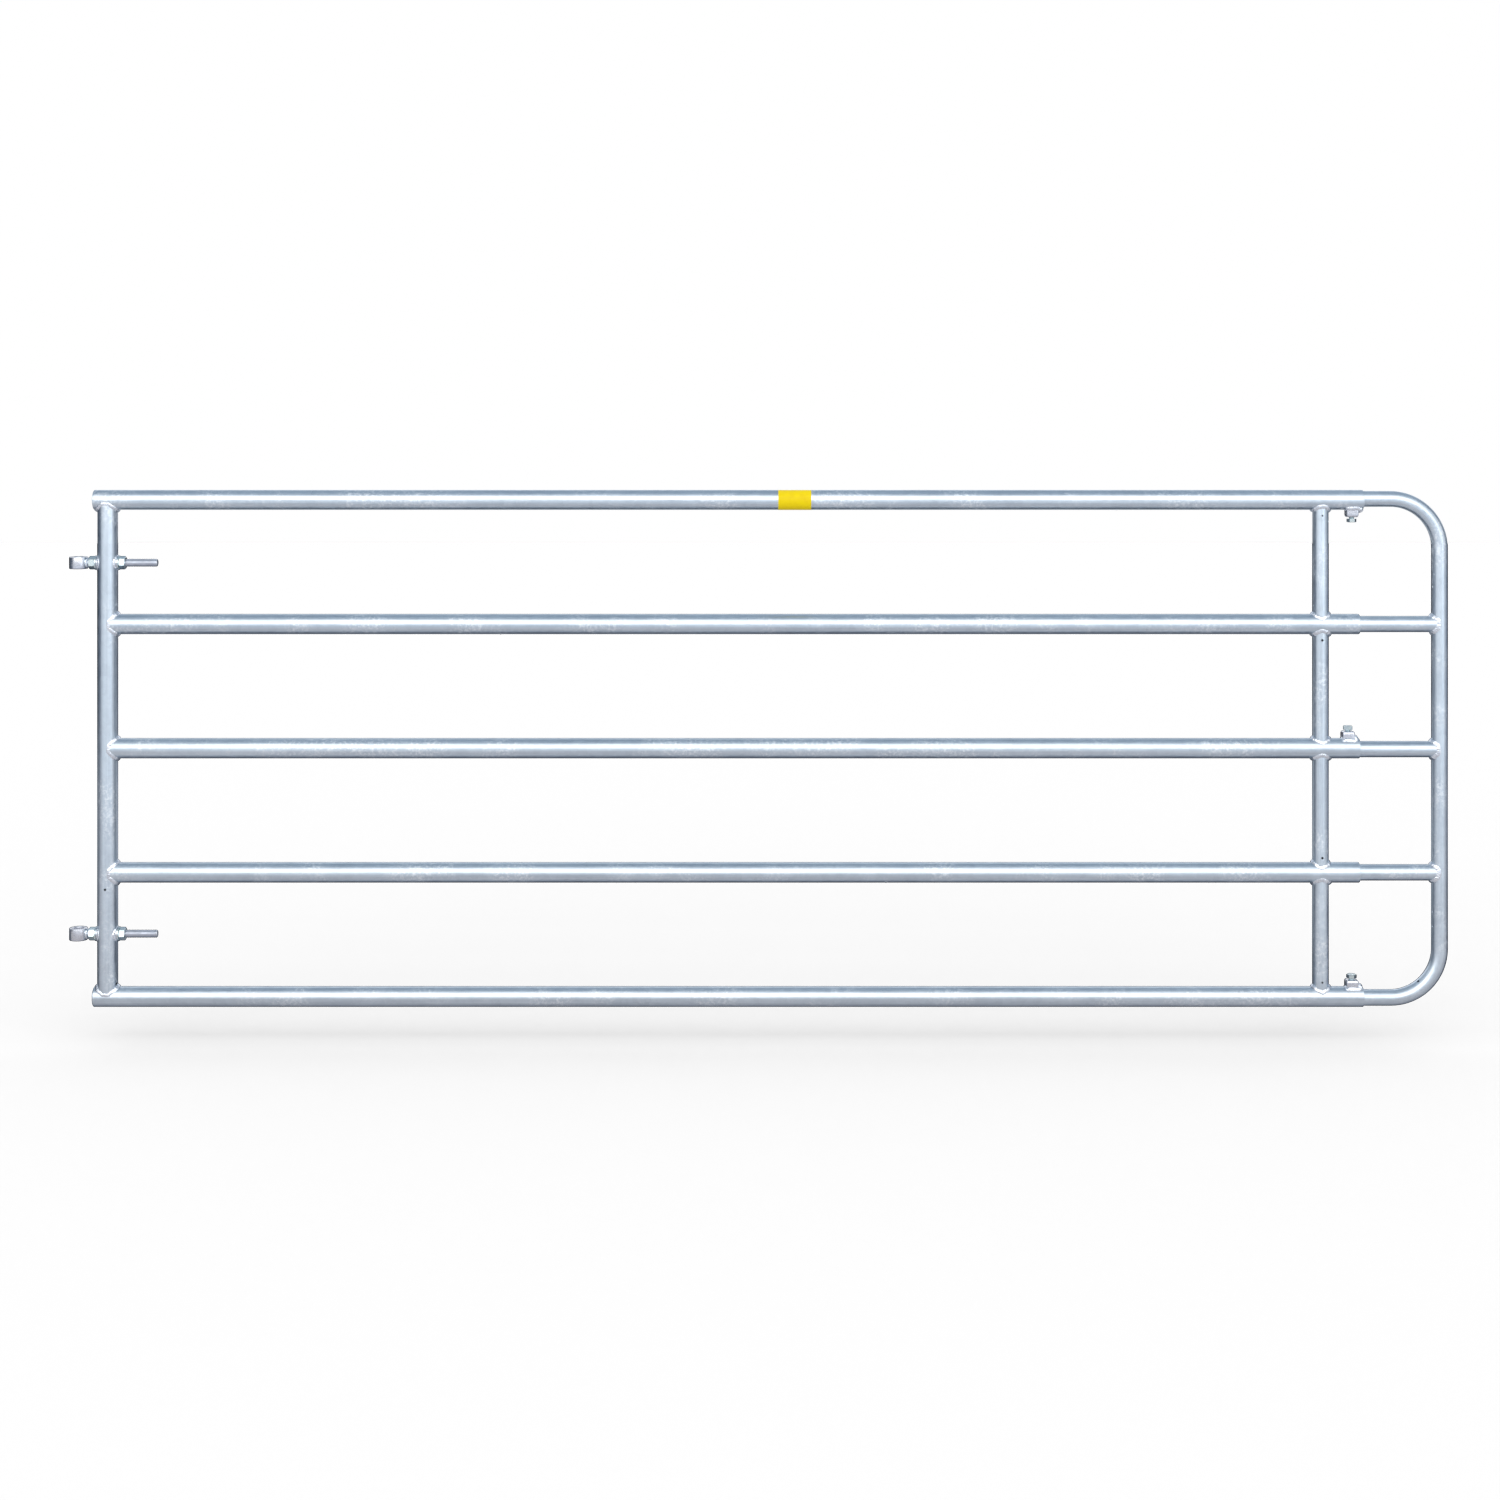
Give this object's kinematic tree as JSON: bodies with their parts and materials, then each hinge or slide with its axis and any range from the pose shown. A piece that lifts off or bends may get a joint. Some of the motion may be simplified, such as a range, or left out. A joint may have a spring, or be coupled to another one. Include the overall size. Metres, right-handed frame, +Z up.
{
  "type": "field gate",
  "caption": "Adjustable tubular field gate, hot-dip galvanised, with a telescoping bow held by clamp bolts and adjustable eyebolts that hang it on gate pins.",
  "frame": {"origin": "centre of the lower hinge eye, on the hinge line", "axes": "+X along the gate towards the latch end, +Z up along the hinge line, -Y the pictured front"},
  "size_m": [2.9343, 0.0454, 1.1003],
  "materials": {
    "galvanised_tube": "hot-dip galvanised, satin, faint spangle and runs",
    "galvanised_block": "hot-dip galvanised over mill scale, satin",
    "galvanised_weld": "hot-dip galvanised weld bead, bright",
    "zinc_fastener": "blue-passivated zinc plate",
    "threaded_rod": "galvanised thread, matt",
    "label_film": "yellow self-adhesive film, plain"
  },
  "bodies": {
    "frame": {"top_rail": "galvanised_tube", "upper_rail": "galvanised_tube", "middle_rail": "galvanised_tube", "lower_rail": "galvanised_tube", "bottom_rail": "galvanised_tube", "hinge_post": "galvanised_tube", "brace_top": "galvanised_tube", "brace_upper": "galvanised_tube", "brace_lower": "galvanised_tube", "brace_bottom": "galvanised_tube", "upper_hinge_bush": "galvanised_block", "lower_hinge_bush": "galvanised_block", "clamp_block_top": "galvanised_block", "clamp_block_middle": "galvanised_block", "clamp_block_bottom": "galvanised_block", "upper_outer_washer": "zinc_fastener", "upper_inner_washer": "zinc_fastener", "lower_outer_washer": "zinc_fastener", "lower_inner_washer": "zinc_fastener", "hinge_post_welds": "galvanised_weld", "brace_welds": "galvanised_weld", "bush_welds": "galvanised_weld", "clamp_block_welds": "galvanised_weld", "label": "label_film"},
    "extension": {"extension_bow": "galvanised_tube", "upper_slide_tube": "galvanised_tube", "middle_slide_tube": "galvanised_tube", "lower_slide_tube": "galvanised_tube", "extension_welds": "galvanised_weld"},
    "clamp_bolt_top": {"clamp_bolt_top": "zinc_fastener"},
    "clamp_bolt_middle": {"clamp_bolt_middle": "zinc_fastener"},
    "clamp_bolt_bottom": {"clamp_bolt_bottom": "zinc_fastener"},
    "upper_eyebolt": {"upper_eye": "galvanised_block", "upper_eye_rod": "threaded_rod", "upper_eye_weld": "galvanised_weld"},
    "upper_outer_nut": {"upper_outer_nut": "zinc_fastener"},
    "upper_inner_nut": {"upper_inner_nut": "zinc_fastener"},
    "lower_eyebolt": {"lower_eye": "galvanised_block", "lower_eye_rod": "threaded_rod", "lower_eye_weld": "galvanised_weld"},
    "lower_outer_nut": {"lower_outer_nut": "zinc_fastener"},
    "lower_inner_nut": {"lower_inner_nut": "zinc_fastener"}
  },
  "joints": [
    {"name": "extension_slide", "type": "slide", "parent": "frame", "child": "extension", "axis": [1, 0, 0], "range_m": [-0.05, 1]},
    {"name": "clamp_top_screw", "type": "slide", "parent": "frame", "child": "clamp_bolt_top", "axis": [0, 0, -1], "range_m": [0, 0.012]},
    {"name": "clamp_middle_screw", "type": "slide", "parent": "frame", "child": "clamp_bolt_middle", "axis": [0, 0, 1], "range_m": [0, 0.012]},
    {"name": "clamp_bottom_screw", "type": "slide", "parent": "frame", "child": "clamp_bolt_bottom", "axis": [0, 0, 1], "range_m": [0, 0.012]},
    {"name": "upper_eyebolt_reach", "type": "slide", "parent": "frame", "child": "upper_eyebolt", "axis": [-1, 0, 0], "range_m": [0, 0.06]},
    {"name": "upper_inner_nut_turn", "type": "hinge", "parent": "frame", "child": "upper_inner_nut", "pos_m": [0.062, 0, 0.79], "axis": [1, 0, 0], "range_deg": [0, 10801]},
    {"name": "upper_outer_nut_turn", "type": "hinge", "parent": "frame", "child": "upper_outer_nut", "pos_m": [0.062, 0, 0.79], "axis": [1, 0, 0], "range_deg": [0, 10801]},
    {"name": "lower_eyebolt_reach", "type": "slide", "parent": "frame", "child": "lower_eyebolt", "axis": [-1, 0, 0], "range_m": [0, 0.06]},
    {"name": "lower_inner_nut_turn", "type": "hinge", "parent": "frame", "child": "lower_inner_nut", "pos_m": [0.062, 0, 0], "axis": [1, 0, 0], "range_deg": [0, 10801]},
    {"name": "lower_outer_nut_turn", "type": "hinge", "parent": "frame", "child": "lower_outer_nut", "pos_m": [0.062, 0, 0], "axis": [1, 0, 0], "range_deg": [0, 10801]}
  ],
  "couplings": [
    {"joint": "upper_inner_nut_turn", "follows": "upper_eyebolt_reach", "rad_per_m": 3141.6},
    {"joint": "upper_outer_nut_turn", "follows": "upper_eyebolt_reach", "rad_per_m": 3141.6},
    {"joint": "lower_inner_nut_turn", "follows": "lower_eyebolt_reach", "rad_per_m": 3141.6},
    {"joint": "lower_outer_nut_turn", "follows": "lower_eyebolt_reach", "rad_per_m": 3141.6}
  ]
}
